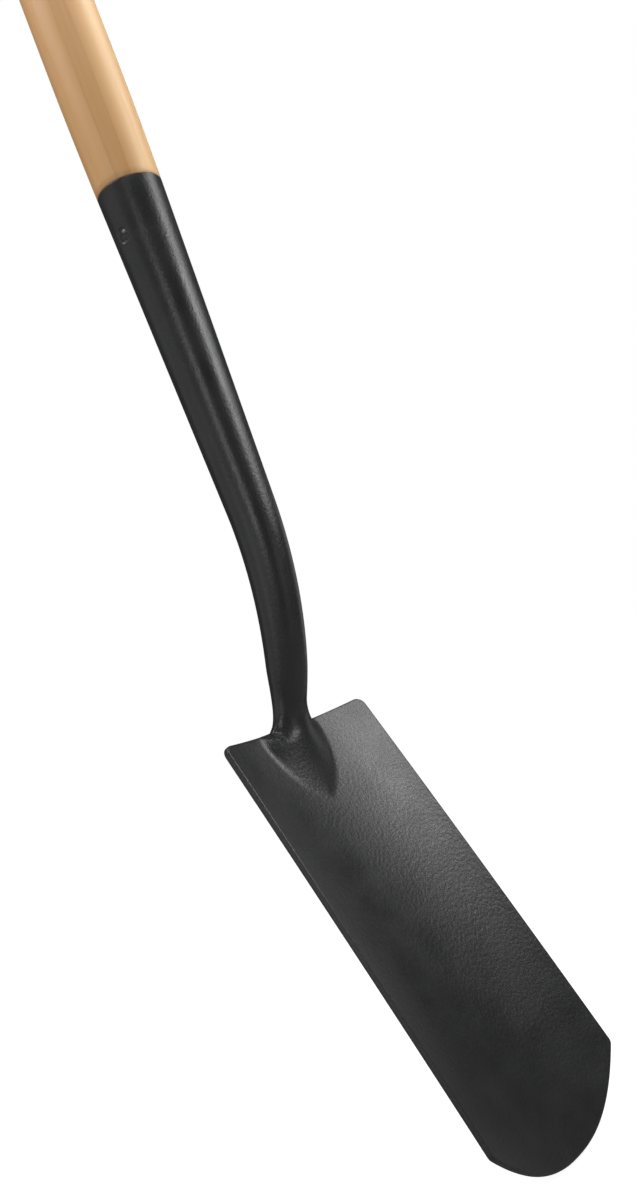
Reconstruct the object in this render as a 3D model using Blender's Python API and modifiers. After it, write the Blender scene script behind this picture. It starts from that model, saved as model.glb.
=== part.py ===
"""A long-handled digging spade: a one-piece forged steel head, an ash shaft and the rivet that pins them.

The origin is on the shaft's axis where a hand or a rack clip holds it. +Z runs up the shaft to its butt,
-Y is the hollow front of the blade and X runs across the blade.
The head is modelled in its own blade frame, with its origin in the middle of the blade's top edge, +Z along
the blade up towards the shaft and -Y at the front. A distance down the blade is called down, one across it
is called across, and one along the neck and socket from the top edge is called along.
"""

import math

import bmesh
import bpy
from mathutils import Matrix, Vector

# Blade outline and wall, in metres.
BLADE_TOP_WIDTH = 0.1248
BLADE_SHOULDER_WIDTH = 0.1292
BLADE_SIDE_LENGTH = 0.2500
BLADE_NOSE_LENGTH = 0.0318
NOSE_FULLNESS = 2.27
TOP_CORNER_RADIUS = 0.0060
SHOULDER_RADIUS = 0.0045
BLADE_TOP_THICKNESS = 0.0040
BLADE_TIP_THICKNESS = 0.0034

# The dish of the blade: how far its sides stand forward of the origin at both ends of the sides, and how far
# its middle is set back behind it.
SIDE_FORWARD_TOP = 0.0068
SIDE_FORWARD_SHOULDER = 0.0098
MIDDLE_SET_BACK = 0.0010

# The frog is the pointed ridge that carries the neck into the front of the blade. It sinks towards its point
# by the fade. Its sides bow out by the side curve, close on the point by the point curve and meet the dish in
# a fillet. At the top edge only its middle stands up, as wide as the top width and rounded by the top curve,
# and its shoulders fill out over the shoulder run.
FROG_WIDTH = 0.0550
FROG_LENGTH = 0.0496
FROG_HEIGHT = 0.0127
FROG_FADE = 1.2
FROG_SIDE_CURVE = 2.0
FROG_POINT_CURVE = 0.84
FROG_FILLET = 0.0040
FROG_TOP_WIDTH = 0.0390
FROG_TOP_CURVE = 1.35
FROG_SHOULDER_RUN = 0.0140

# The tang is the lower swelling behind it, which dies away smoothly into the back of the blade: down it by
# the fade and across it by the crown.
TANG_WIDTH = 0.0360
TANG_LENGTH = 0.0700
TANG_HEIGHT = 0.0062
TANG_FADE = 2.0
TANG_CROWN = 2.0

# Neck and socket. Lifts are angles forward of the blade, in degrees. The outline of the neck's foot on the
# blade's top edge fades into a round neck by the foot fade.
NECK_LIFT = 40.2
SOCKET_LIFT = 18.3
NECK_LENGTH = 0.0384
NECK_FORWARD = 0.0008
NECK_FOOT_WIDTH = 0.0350
NECK_FOOT_FADE = 3.0
NECK_FOOT_DIAMETER = 0.0218
NECK_DIAMETER = 0.0212
NECK_NARROWEST_AT = 0.0100
NECK_ROUNDS_BY = 0.0260
BEND_RADIUS = 0.2527
BEND_START_DIAMETER = 0.0252
BEND_END_DIAMETER = 0.0302
SOCKET_LENGTH = 0.2088
SOCKET_MOUTH_DIAMETER = 0.0414
SOCKET_MOUTH_WALL = 0.0022
SOCKET_END_WALL = 0.0030
SOLID_BELOW_BORE = 0.0190
BORE_END_CONE = 0.0050
LIP_ROUND = 0.0004

# Ash shaft. It is flush with the socket at the lip and swells above it.
SHAFT_SHOWN_LENGTH = 0.8400
SHAFT_SWELL = 0.0012
SHAFT_SWELL_RUN = 0.0850
SHAFT_BUTT_DIAMETER = 0.0360
BUTT_ROUND = 0.0100
TENON_END_GAP = 0.0070
TENON_CHAMFER = 0.0030
GRIP_TO_BUTT = 0.2400

# Rivet, driven from side to side through socket and shaft, spread at its ends and ground off in a dimple.
RIVET_DIAMETER = 0.0050
RIVET_SPREAD = 0.0002
RIVET_SPREAD_RUN = 0.0016
RIVET_BELOW_LIP = 0.0312
RIVET_SUNK = 0.0006
RIVET_CROWN = 0.0002

# Clearance between pieces that touch, and how far a cutter runs past the surface that it opens.
FIT_GAP = 0.0003
CUTTER_PAST = 0.0040

# Mesh fineness: columns and rows of the blade, rings of the neck and socket, and sides of turned pieces.
HALF_RING = 18
FLANK_COLUMNS = 4
WING_COLUMNS = 6
CORNER_COLUMNS = 5
FROG_ROWS = 18
BODY_ROWS = 10
NOSE_ROWS = 8
FOOT_RINGS = 8
NECK_RINGS = 2
BEND_RINGS = 12
SOCKET_RINGS = 10
SHAFT_RINGS = 9
SWELL_RINGS = 5
BUTT_RINGS = 6
SHAFT_SIDES = 36
RIVET_SIDES = 24
SHARP_ANGLE = 35

# How the blade's rows and columns are laid: the first rows straighten out below the top corners and end just
# below the frog, the next draw closer together towards it, and the last bend to the nose. The columns close
# up on the frog's point and then reopen.
CORNER_ROWS_RUN = 0.0300
ROWS_PAST_FROG = 0.0020
ROW_DRAW = 1.3
NOSE_ROWS_RUN = 0.0500
COLUMNS_CLOSED_HALF = 0.0090
COLUMNS_REOPEN_RUN = 0.1040


def smooth(share):
    """Eases from 0 to 1 as share goes from 0 to 1."""
    share = min(max(share, 0.0), 1.0)
    return share * share * (3.0 - 2.0 * share)


def level_out(share):
    """Rises from 0 to 1 as share does, steeply at first, and levels out."""
    share = min(share, 1.0)
    return share * (2 - share)


def mix(start, end, share):
    return start + (end - start) * share


# Blade


def half_width(down):
    share = min(down / BLADE_SIDE_LENGTH, 1.0)
    return mix(BLADE_TOP_WIDTH, BLADE_SHOULDER_WIDTH, share) / 2


def dish(across, down):
    """Where the plain front surface lies, and the sine and cosine of its slope across the blade."""
    side_y = -mix(SIDE_FORWARD_TOP, SIDE_FORWARD_SHOULDER, level_out(down / BLADE_SIDE_LENGTH))
    depth = MIDDLE_SET_BACK - side_y
    half = half_width(down)
    radius = (half * half + depth * depth) / (2 * depth)
    sine = across / radius
    cosine = math.sqrt(1 - sine * sine)
    return MIDDLE_SET_BACK - radius * (1 - cosine), sine, cosine


def thickness(down):
    share = min(down / (BLADE_SIDE_LENGTH + BLADE_NOSE_LENGTH), 1.0)
    return mix(BLADE_TOP_THICKNESS, BLADE_TIP_THICKNESS, share)


def frog_half_width(down):
    share = min(down / FROG_LENGTH, 1.0)
    return FROG_WIDTH / 2 * (1 - share**FROG_SIDE_CURVE) ** FROG_POINT_CURVE


def frog_height(across, down):
    """How far the frog stands forward of the dish: a bell at the top edge that fills out to a full crown."""
    half = frog_half_width(down)
    if half <= abs(across):
        return 0.0
    bell = max(1 - (2 * across / FROG_TOP_WIDTH) ** 2, 0.0) ** FROG_TOP_CURVE
    inward = half - abs(across)
    fillet = min(FROG_FILLET, half)
    eased = inward - fillet / 2 if inward > fillet else inward**2 / (2 * fillet)
    crown_half = half - fillet / 2
    crown = 1 - ((crown_half - eased) / crown_half) ** 2
    filled = level_out(down / FROG_SHOULDER_RUN)
    return FROG_HEIGHT * (1 - down / FROG_LENGTH) ** FROG_FADE * mix(bell, crown, filled)


def tang_height(across, down):
    """How far the tang stands out of the back of the blade."""
    fade = max(1 - down / TANG_LENGTH, 0.0) ** TANG_FADE
    crown = max(1 - (2 * across / TANG_WIDTH) ** 2, 0.0) ** TANG_CROWN
    return TANG_HEIGHT * fade * crown


def front_point(across, down):
    y, _, _ = dish(across, down)
    return Vector((across, y - frog_height(across, down), -down))


def back_point(across, down):
    y, sine, cosine = dish(across, down)
    wall = thickness(down)
    return Vector((across + wall * sine, y + wall * cosine + tang_height(across, down), -down))


def ring_angles():
    """Angles of the front half of a neck ring, left to right, measured from straight forward."""
    return [math.radians(-90 + (i + 0.5) * 180 / HALF_RING) for i in range(HALF_RING)]


def column_shares():
    """Half of the blade's columns, from the middle out: (kind, share) with kinds foot, flank, wing and corner."""
    limit = math.sin(ring_angles()[-1])
    shares = [("foot", math.sin(angle) / limit) for angle in ring_angles() if angle > 0]
    shares += [("flank", (i + 1) / FLANK_COLUMNS) for i in range(FLANK_COLUMNS)]
    shares += [("wing", (i + 1) / WING_COLUMNS) for i in range(WING_COLUMNS)]
    shares += [("corner", (i + 1) / CORNER_COLUMNS) for i in range(CORNER_COLUMNS)]
    return shares


def column_across(kind, share, down):
    """The columns follow the frog's edge down the blade, and open out again below its point."""
    reopened = smooth((down - FROG_LENGTH) / COLUMNS_REOPEN_RUN)
    frog_edge = max(frog_half_width(down), mix(COLUMNS_CLOSED_HALF, FROG_WIDTH / 2, reopened))
    foot_edge = frog_edge * NECK_FOOT_WIDTH / FROG_WIDTH
    wing_edge = half_width(down) - TOP_CORNER_RADIUS
    if kind == "foot":
        return foot_edge * share
    if kind == "flank":
        return mix(foot_edge, frog_edge, share)
    if kind == "wing":
        return mix(frog_edge, wing_edge, share)
    return wing_edge + TOP_CORNER_RADIUS * math.sin(math.radians(90 * share))


def corner_down(share):
    """How far below the top edge a corner column starts, on the quarter circle of the top corner."""
    return TOP_CORNER_RADIUS * (1 - math.cos(math.radians(90 * share)))


def nose_down(across):
    """How far down a column ends: the full nose curve, met by the side in a small round shoulder."""
    half = BLADE_SHOULDER_WIDTH / 2
    slope = math.atan(BLADE_NOSE_LENGTH * NOSE_FULLNESS / half)
    turn = math.pi / 2 - slope
    centre_across = half - SHOULDER_RADIUS
    if across > centre_across + SHOULDER_RADIUS * math.cos(turn):
        centre_down = BLADE_SIDE_LENGTH - SHOULDER_RADIUS * math.tan(turn / 2)
        rise = SHOULDER_RADIUS**2 - (across - centre_across) ** 2
        return centre_down + math.sqrt(max(rise, 0.0))
    return BLADE_SIDE_LENGTH + BLADE_NOSE_LENGTH * (1 - (across / half) ** NOSE_FULLNESS)


def row_plan():
    """Rows down the blade as (distance, share of the nose), where the last rows bend to follow the nose."""
    frog_end = FROG_LENGTH + ROWS_PAST_FROG
    nose_start = BLADE_SIDE_LENGTH - NOSE_ROWS_RUN
    rows = [(frog_end * i / FROG_ROWS, 0.0) for i in range(FROG_ROWS + 1)]
    for i in range(1, BODY_ROWS + 1):
        rows.append((mix(frog_end, nose_start, (i / BODY_ROWS) ** ROW_DRAW), 0.0))
    for i in range(1, NOSE_ROWS + 1):
        rows.append((nose_start, math.sin(math.radians(90 * i / NOSE_ROWS))))
    return rows


def blade_column(kind, share, side, rows):
    """Front and back points of one column, from the top edge to the nose."""
    start = 0.0
    if kind == "corner":
        start = corner_down(share)
    end = nose_down(column_across(kind, share, BLADE_SIDE_LENGTH))
    front = []
    back = []
    for level, nose_share in rows:
        down = level
        if level < CORNER_ROWS_RUN:
            down = mix(start, CORNER_ROWS_RUN, level / CORNER_ROWS_RUN)
        down = mix(down, end, nose_share)
        across = side * column_across(kind, share, down)
        front.append(front_point(across, down))
        back.append(back_point(across, down))
    return front, back


# Neck and socket


def bend_length():
    return BEND_RADIUS * math.radians(NECK_LIFT - SOCKET_LIFT)


def socket_end():
    return NECK_LENGTH + bend_length() + SOCKET_LENGTH


def bore_depth():
    return SOCKET_LENGTH - SOLID_BELOW_BORE


def neck_line(along):
    """Centre point of the neck and socket, and their lift there: straight, bent back, then straight again."""
    lift = math.radians(NECK_LIFT)
    straight = min(along, NECK_LENGTH)
    centre = Vector((0, -NECK_FORWARD - math.sin(lift) * straight, math.cos(lift) * straight))
    if along > NECK_LENGTH:
        bent = min(along - NECK_LENGTH, bend_length())
        now = lift - bent / BEND_RADIUS
        centre.y += BEND_RADIUS * (math.cos(lift) - math.cos(now))
        centre.z += BEND_RADIUS * (math.sin(lift) - math.sin(now))
        lift = now
    if along > NECK_LENGTH + bend_length():
        rest = along - NECK_LENGTH - bend_length()
        centre.y -= math.sin(lift) * rest
        centre.z += math.cos(lift) * rest
    return centre, lift


def neck_radius(along):
    """Outer radius: pinched just above the blade, then a taper that runs smoothly through its stations."""
    stations = [
        (0.0, NECK_FOOT_DIAMETER),
        (NECK_NARROWEST_AT, NECK_DIAMETER),
        (NECK_LENGTH, BEND_START_DIAMETER),
        (NECK_LENGTH + bend_length(), BEND_END_DIAMETER),
        (socket_end(), SOCKET_MOUTH_DIAMETER),
    ]
    slopes = []
    for i in range(len(stations)):
        before = stations[max(i - 1, 0)]
        after = stations[min(i + 1, len(stations) - 1)]
        slopes.append((after[1] - before[1]) / (after[0] - before[0]))
    narrowest = 1
    slopes[narrowest] = 0.0
    for i in range(len(stations) - 1):
        (low, start), (high, end) = stations[i], stations[i + 1]
        if along <= high:
            break
    run = high - low
    t = min(max((along - low) / run, 0.0), 1.0)
    diameter = mix(start, end, smooth(t))
    diameter += run * slopes[i] * t * (1 - t) ** 2
    diameter -= run * slopes[i + 1] * t * t * (1 - t)
    return diameter / 2


def neck_ring(along, radius, lift):
    """A round ring square to the lift: its front half left to right, then its back half right to left."""
    centre, _ = neck_line(along)
    forward = Vector((0, -math.cos(lift), -math.sin(lift)))
    sideways = Vector((1, 0, 0))
    points = []
    for angle in ring_angles():
        points.append(centre + radius * (math.sin(angle) * sideways + math.cos(angle) * forward))
    for angle in reversed(ring_angles()):
        points.append(centre + radius * (math.sin(angle) * sideways - math.cos(angle) * forward))
    return points


def neck_rings(foot):
    """All rings above the foot, which is the neck's outline on the blade's top edge.

    The first rings turn from level to square with the neck, and lose the foot's outline on the way.
    """
    level_ring = neck_ring(0.0, neck_radius(0.0), 0.0)
    rings = []
    for i in range(1, FOOT_RINGS + 1):
        share = i / FOOT_RINGS
        along = NECK_ROUNDS_BY * share
        ring = neck_ring(along, neck_radius(along), math.radians(NECK_LIFT) * smooth(share))
        left = (1 - share) ** NECK_FOOT_FADE
        rings.append([p + left * (f - r) for p, f, r in zip(ring, foot, level_ring)])
    stretches = [
        (NECK_ROUNDS_BY, NECK_LENGTH, NECK_RINGS),
        (NECK_LENGTH, NECK_LENGTH + bend_length(), BEND_RINGS),
        (NECK_LENGTH + bend_length(), socket_end() - LIP_ROUND, SOCKET_RINGS),
    ]
    for low, high, count in stretches:
        for i in range(1, count + 1):
            along = mix(low, high, i / count)
            rings.append(neck_ring(along, neck_radius(along), neck_line(along)[1]))
    lip = socket_end()
    rings.append(neck_ring(lip, neck_radius(lip) - LIP_ROUND, neck_line(lip)[1]))
    return rings


# Building


def add_material(name, colour, roughness, metallic):
    material = bpy.data.materials.new(name)
    material.use_nodes = True
    shader = material.node_tree.nodes["Principled BSDF"]
    shader.inputs["Base Color"].default_value = (*colour, 1)
    shader.inputs["Roughness"].default_value = roughness
    shader.inputs["Metallic"].default_value = metallic
    return material


def add_object(name, mesh, material, collection):
    piece = bpy.data.objects.new(name, mesh)
    collection.objects.link(piece)
    if material:
        mesh.materials.append(material)
    mesh.shade_smooth()
    mesh.set_sharp_from_angle(angle=math.radians(SHARP_ANGLE))
    return piece


def add_cutter(name, mesh, collection):
    cutter = add_object(name, mesh, None, collection)
    cutter.hide_render = True
    cutter.display_type = "WIRE"
    return cutter


def cut(piece, cutter):
    boolean = piece.modifiers.new("cut_" + cutter.name, "BOOLEAN")
    boolean.operation = "DIFFERENCE"
    boolean.solver = "EXACT"
    boolean.object = cutter


def turned_mesh(name, profile, sides):
    """A mesh turned about Z. The profile's (radius, z) points run from the top of the axis to its bottom."""
    mesh = bpy.data.meshes.new(name)
    edges = [(i, i + 1) for i in range(len(profile) - 1)]
    mesh.from_pydata([(radius, 0, z) for radius, z in profile], edges, [])
    turned = bpy.data.objects.new(name, mesh)
    bpy.context.scene.collection.objects.link(turned)
    screw = turned.modifiers.new("turn", "SCREW")
    screw.angle = math.tau
    screw.steps = sides
    screw.render_steps = sides
    screw.use_merge_vertices = True
    screw.merge_threshold = 0.00001
    bpy.context.view_layer.update()
    evaluated = turned.evaluated_get(bpy.context.evaluated_depsgraph_get())
    result = bpy.data.meshes.new_from_object(evaluated)
    bpy.data.objects.remove(turned)
    bpy.data.meshes.remove(mesh)
    result.name = name
    return result


def head_mesh():
    """The forging's whole skin: blade front and back, its edges, and the neck that rises from its top edge."""
    rows = row_plan()
    half = column_shares()
    columns = [(kind, share, -1) for kind, share in reversed(half)] + [(kind, share, 1) for kind, share in half]
    grid = [blade_column(kind, share, side, rows) for kind, share, side in columns]
    shape = bmesh.new()
    front = [[shape.verts.new(point) for point in points] for points, _ in grid]
    back = [[shape.verts.new(point) for point in points] for _, points in grid]
    last = len(rows) - 1
    first_foot = sum(kind != "foot" for kind, _ in half)
    last_foot = len(columns) - 1 - first_foot
    for i in range(len(columns) - 1):
        for j in range(last):
            shape.faces.new((front[i][j], front[i][j + 1], front[i + 1][j + 1], front[i + 1][j]))
            shape.faces.new((back[i][j], back[i + 1][j], back[i + 1][j + 1], back[i][j + 1]))
        shape.faces.new((front[i][last], back[i][last], back[i + 1][last], front[i + 1][last]))
        if not first_foot <= i < last_foot:
            shape.faces.new((front[i][0], front[i + 1][0], back[i + 1][0], back[i][0]))
    for j in range(last):
        shape.faces.new((front[0][j], back[0][j], back[0][j + 1], front[0][j + 1]))
        shape.faces.new((front[-1][j], front[-1][j + 1], back[-1][j + 1], back[-1][j]))
    foot = [front[i][0] for i in range(first_foot, last_foot + 1)]
    foot += [back[i][0] for i in range(last_foot, first_foot - 1, -1)]
    below = foot
    for ring in neck_rings([vert.co.copy() for vert in foot]):
        above = [shape.verts.new(point) for point in ring]
        for i in range(len(ring)):
            k = (i + 1) % len(ring)
            shape.faces.new((below[i], below[k], above[k], above[i]))
        below = above
    shape.faces.new(below)
    bmesh.ops.recalc_face_normals(shape, faces=shape.faces)
    mesh = bpy.data.meshes.new("head")
    shape.to_mesh(mesh)
    shape.free()
    return mesh


def bore_radius(depth):
    """Radius of the tapered bore at a depth below the lip."""
    mouth = SOCKET_MOUTH_DIAMETER / 2 - SOCKET_MOUTH_WALL
    end = neck_radius(socket_end() - bore_depth()) - SOCKET_END_WALL
    return mix(mouth, end, depth / bore_depth())


def bore_mesh():
    profile = [
        (0, CUTTER_PAST),
        (bore_radius(-CUTTER_PAST), CUTTER_PAST),
        (bore_radius(bore_depth()), -bore_depth()),
        (0, -bore_depth() - BORE_END_CONE),
    ]
    return turned_mesh("bore", profile, SHAFT_SIDES)


def shaft_radius(up):
    """Shaft radius at a height above the lip: flush there, full a hand above it and slimmer at the butt."""
    flush = SOCKET_MOUTH_DIAMETER / 2
    full = flush + SHAFT_SWELL
    if up < SHAFT_SWELL_RUN:
        return mix(flush, full, math.sin(math.radians(90 * up / SHAFT_SWELL_RUN)))
    share = (up - SHAFT_SWELL_RUN) / (SHAFT_SHOWN_LENGTH - SHAFT_SWELL_RUN)
    return mix(full, SHAFT_BUTT_DIAMETER / 2, smooth(share))


def tenon_radius(depth):
    return bore_radius(depth) - FIT_GAP


def shaft_mesh():
    """The shaft above the lip with its rounded butt, and the tapered tenon that fills the socket."""
    profile = [(0, SHAFT_SHOWN_LENGTH)]
    for i in range(BUTT_RINGS + 1):
        angle = math.radians(90 * i / BUTT_RINGS)
        across = SHAFT_BUTT_DIAMETER / 2 - BUTT_ROUND * (1 - math.sin(angle))
        profile.append((across, SHAFT_SHOWN_LENGTH - BUTT_ROUND * (1 - math.cos(angle))))
    for i in range(1, SHAFT_RINGS + 1):
        up = mix(SHAFT_SHOWN_LENGTH - BUTT_ROUND, SHAFT_SWELL_RUN, i / SHAFT_RINGS)
        profile.append((shaft_radius(up), up))
    for i in range(1, SWELL_RINGS + 1):
        up = mix(SHAFT_SWELL_RUN, FIT_GAP, i / SWELL_RINGS)
        profile.append((shaft_radius(up), up))
    tenon_length = bore_depth() - TENON_END_GAP
    chamfer_start = tenon_length - TENON_CHAMFER
    profile.append((tenon_radius(-FIT_GAP), FIT_GAP))
    profile.append((tenon_radius(chamfer_start), -chamfer_start))
    profile.append((tenon_radius(tenon_length) - TENON_CHAMFER / 2, -tenon_length))
    profile.append((0, -tenon_length))
    return turned_mesh("shaft", profile, SHAFT_SIDES)


def rivet_reach():
    """Distance from the shaft's axis to the rim of the rivet's ends, sunk below the socket's skin."""
    return neck_radius(socket_end() - RIVET_BELOW_LIP) - RIVET_SUNK


def rivet_flare(gap):
    """The spread end of the rivet, or with a gap the hole that holds it: from its rim inwards to its shank."""
    spread = RIVET_DIAMETER / 2 + RIVET_SPREAD
    return [(spread + gap, rivet_reach()), (RIVET_DIAMETER / 2 + gap, rivet_reach() - RIVET_SPREAD_RUN)]


def both_ends(profile):
    """A rivet profile for one end, repeated upside down for the other."""
    return profile + [(radius, -z) for radius, z in reversed(profile)]


def rivet_mesh():
    crowned = [(0, rivet_reach() + RIVET_CROWN)]
    return turned_mesh("rivet", both_ends(crowned + rivet_flare(0)), RIVET_SIDES)


def rivet_hole_mesh():
    """The rivet's hole, which opens at 45 degrees into a dimple around each end."""
    rim, _ = rivet_flare(FIT_GAP)
    rise = RIVET_SUNK + CUTTER_PAST
    dimple = [(0, rim[1] + rise), (rim[0] + rise, rim[1] + rise)]
    return turned_mesh("rivet_hole", both_ends(dimple + rivet_flare(FIT_GAP)), RIVET_SIDES)


def build():
    for old in list(bpy.data.objects):
        bpy.data.objects.remove(old, do_unlink=True)
    spade = bpy.data.collections.new("spade")
    cutters = bpy.data.collections.new("cutters")
    bpy.context.scene.collection.children.link(spade)
    bpy.context.scene.collection.children.link(cutters)
    coat = add_material("black_coat", (0.022, 0.023, 0.024), 0.42, 0.0)
    ash = add_material("ash_wood", (0.53, 0.33, 0.16), 0.45, 0.0)
    rivet_steel = add_material("coated_rivet", (0.024, 0.025, 0.026), 0.40, 0.0)

    # The socket's lip lies on the shaft's axis, so the blade frame hangs from it, leaned back by the lift.
    lip_height = GRIP_TO_BUTT - SHAFT_SHOWN_LENGTH
    lip, _ = neck_line(socket_end())
    lip_turned = Matrix.Rotation(-math.radians(SOCKET_LIFT), 4, "X") @ lip
    blade_frame = bpy.data.objects.new("blade_frame", None)
    spade.objects.link(blade_frame)
    blade_frame.rotation_euler = (-math.radians(SOCKET_LIFT), 0, 0)
    blade_frame.location = (0, -lip_turned.y, lip_height - lip_turned.z)
    shaft_frame = bpy.data.objects.new("shaft_frame", None)
    spade.objects.link(shaft_frame)
    shaft_frame.location = (0, 0, lip_height)

    head = add_object("head", head_mesh(), coat, spade)
    head.parent = blade_frame
    shaft = add_object("shaft", shaft_mesh(), ash, spade)
    shaft.parent = shaft_frame
    rivet = add_object("rivet", rivet_mesh(), rivet_steel, spade)
    bore = add_cutter("bore", bore_mesh(), cutters)
    bore.parent = shaft_frame
    rivet_hole = add_cutter("rivet_hole", rivet_hole_mesh(), cutters)
    for crosswise in (rivet, rivet_hole):
        crosswise.parent = shaft_frame
        crosswise.location = (0, 0, -RIVET_BELOW_LIP)
        crosswise.rotation_euler = (0, math.pi / 2, 0)
    cut(head, bore)
    cut(head, rivet_hole)
    cut(shaft, rivet_hole)


build()
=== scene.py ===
"""Looks of the long-handled spade: the forged and coated head, the ash shaft and the rivet that pins them.

Metres and degrees, in the part's frame: +Z up the shaft, -Y at the hollow front of the blade, X across it.
"""

import math

import bpy
from mathutils import Matrix, Vector


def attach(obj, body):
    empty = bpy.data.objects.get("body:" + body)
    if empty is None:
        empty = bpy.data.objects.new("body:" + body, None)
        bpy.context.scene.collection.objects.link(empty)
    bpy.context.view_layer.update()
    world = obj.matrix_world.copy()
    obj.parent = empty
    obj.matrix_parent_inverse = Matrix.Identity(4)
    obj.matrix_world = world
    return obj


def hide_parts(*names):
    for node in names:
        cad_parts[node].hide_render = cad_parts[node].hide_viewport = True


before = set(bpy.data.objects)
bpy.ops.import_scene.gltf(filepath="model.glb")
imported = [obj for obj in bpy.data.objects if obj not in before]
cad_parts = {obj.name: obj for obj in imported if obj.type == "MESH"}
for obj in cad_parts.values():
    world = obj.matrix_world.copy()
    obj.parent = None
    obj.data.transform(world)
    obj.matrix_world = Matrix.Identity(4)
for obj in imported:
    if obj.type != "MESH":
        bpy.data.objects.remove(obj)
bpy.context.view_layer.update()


# The head is one forging of carbon steel: a dished blade with a pointed frog on its front, a gooseneck and
# a closed tapered socket. It is forged hot, ground along its edges and blends, drilled for the rivet and
# powder coated. It is modelled in its blade frame: origin at the middle of the blade's top edge, +Z up it.

# The blade: its outline, its thickness and the depth of its dish.
BLADE_TOP_WIDTH = 0.1248
BLADE_SHOULDER_WIDTH = 0.1292
BLADE_SIDE_LENGTH = 0.2500
BLADE_NOSE_LENGTH = 0.0318
NOSE_FULLNESS = 2.27
TOP_CORNER_RADIUS = 0.0060
SHOULDER_RADIUS = 0.0045
BLADE_TOP_THICKNESS = 0.0040
BLADE_TIP_THICKNESS = 0.0034
EDGE_ROUND = 0.0011
SIDE_FORWARD_TOP = 0.0068
SIDE_FORWARD_SHOULDER = 0.0098
MIDDLE_SET_BACK = 0.0010

# The frog on its front, and the low tang swelling behind it. A curve or fade is an exponent.
FROG_WIDTH = 0.0545
FROG_LENGTH = 0.0515
FROG_HEIGHT = 0.0127
FROG_FADE = 1.45
FROG_SIDE_CURVE = 2.3
FROG_POINT_CURVE = 0.65
FROG_FILLET_TOP = 0.0035
FROG_FILLET_POINT = 0.0080
FROG_ASIDE = -0.0045
FROG_RIDGE_ROUND = 0.80
FROG_SHOULDER_RUN = 0.0140
FROG_TOP_WIDTH = 0.0390
FROG_TOP_CURVE = 1.35
TANG_WIDTH = 0.0360
TANG_LENGTH = 0.0700
TANG_HEIGHT = 0.0060

# The neck and the socket. A lift is an angle forward from the blade's length.
NECK_LIFT = 40.2
SOCKET_LIFT = 18.3
NECK_LENGTH = 0.0384
NECK_FORWARD = 0.0008
NECK_FOOT_WIDTH = 0.0350
FOOT_FADE = 3
NECK_FOOT_DIAMETER = 0.0218
NECK_DIAMETER = 0.0212
NECK_NARROWEST_AT = 0.0100
NECK_ROUNDS_BY = 0.0260
BEND_RADIUS = 0.2527
BEND_START_DIAMETER = 0.0252
BEND_END_DIAMETER = 0.0302
SOCKET_LENGTH = 0.2088
SOCKET_MOUTH_DIAMETER = 0.0414
SOCKET_MOUTH_WALL = 0.0022
SOCKET_END_WALL = 0.0030
SOLID_BELOW_BORE = 0.0190
BORE_END_CONE = 0.0050
LIP_ROUND = 0.0004
LIP_HEIGHT = -0.6000

# The flats that are ground round the rivet's ends.
RIVET_BELOW_LIP = 0.0312
RIVET_FLAT_RADIUS = 0.0052
RIVET_FLAT_DEPTH = 0.0008
RIVET_FLAT_RUN_OUT = 0.00104

# Columns and rows of the mesh, and how the fold under the neck is eased.
FOOT_COLUMNS = 28
FLANK_COLUMNS = 20
WING_COLUMNS = 24
CORNER_COLUMNS = 9
FROG_ROWS = 60
BODY_ROWS = 64
NOSE_ROWS = 26
ROUND_STEPS = 4
ROWS_PAST_FROG = 0.0020
ROW_DRAW = 1.15
CORNER_ROWS_RUN = 0.0300
NOSE_ROWS_RUN = 0.0500
COLUMNS_CLOSED_HALF = 0.0120
COLUMNS_REOPEN_RUN = 0.1040
FOOT_START_CURVE = 8
FOOT_RINGS = 30
FOOT_EASED_ROWS = 16
FOOT_EASE_STEPS = 60
FOOT_EASE_PULL = 0.5
FOOT_EASE_SPREAD = 3.0
RING_SPACING = 0.0025
RIVET_RING_SPACING = 0.0006
RIVET_RINGS_REACH = 0.00728
BORE_RINGS = 24

# The coat's textures: their scales have no unit, and a higher one is finer.
COAT_DARK = (0.0160, 0.0165, 0.0168)
COAT_LIGHT = (0.0205, 0.0210, 0.0214)
COAT_SMOOTHEST = 0.29
COAT_ROUGHEST = 0.36
MELT_SCALE = 45.0
PEEL_SCALE = 480.0
PEEL_DEPTH = 0.00016
GRIT_SCALE = 1500.0
HEAD_GRIT_DEPTH = 0.00003


def smooth(share):
    share = min(max(share, 0.0), 1.0)
    return share * share * (3.0 - 2.0 * share)


def mix(start, end, share):
    return start + (end - start) * share


def half_width(down):
    share = min(down / BLADE_SIDE_LENGTH, 1.0)
    return mix(BLADE_TOP_WIDTH, BLADE_SHOULDER_WIDTH, share) / 2


def dish(across, down):
    """Depth of the plain front surface, and the sine and cosine of its slope across the blade."""
    share = min(down / BLADE_SIDE_LENGTH, 1.0)
    side_y = -mix(SIDE_FORWARD_TOP, SIDE_FORWARD_SHOULDER, share * (2 - share))
    depth = MIDDLE_SET_BACK - side_y
    half = half_width(down)
    radius = (half * half + depth * depth) / (2 * depth)
    sine = across / radius
    cosine = math.sqrt(1 - sine * sine)
    return MIDDLE_SET_BACK - radius * (1 - cosine), sine, cosine


def frog_half_width(down):
    share = min(down / FROG_LENGTH, 1.0)
    return FROG_WIDTH / 2 * (1 - share**FROG_SIDE_CURVE) ** FROG_POINT_CURVE


def ridge(share):
    """Flat flanks that meet in a rounded ridge: a hyperbola from the ridge outwards."""
    return math.hypot(share, FROG_RIDGE_ROUND) - FROG_RIDGE_ROUND


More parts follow.
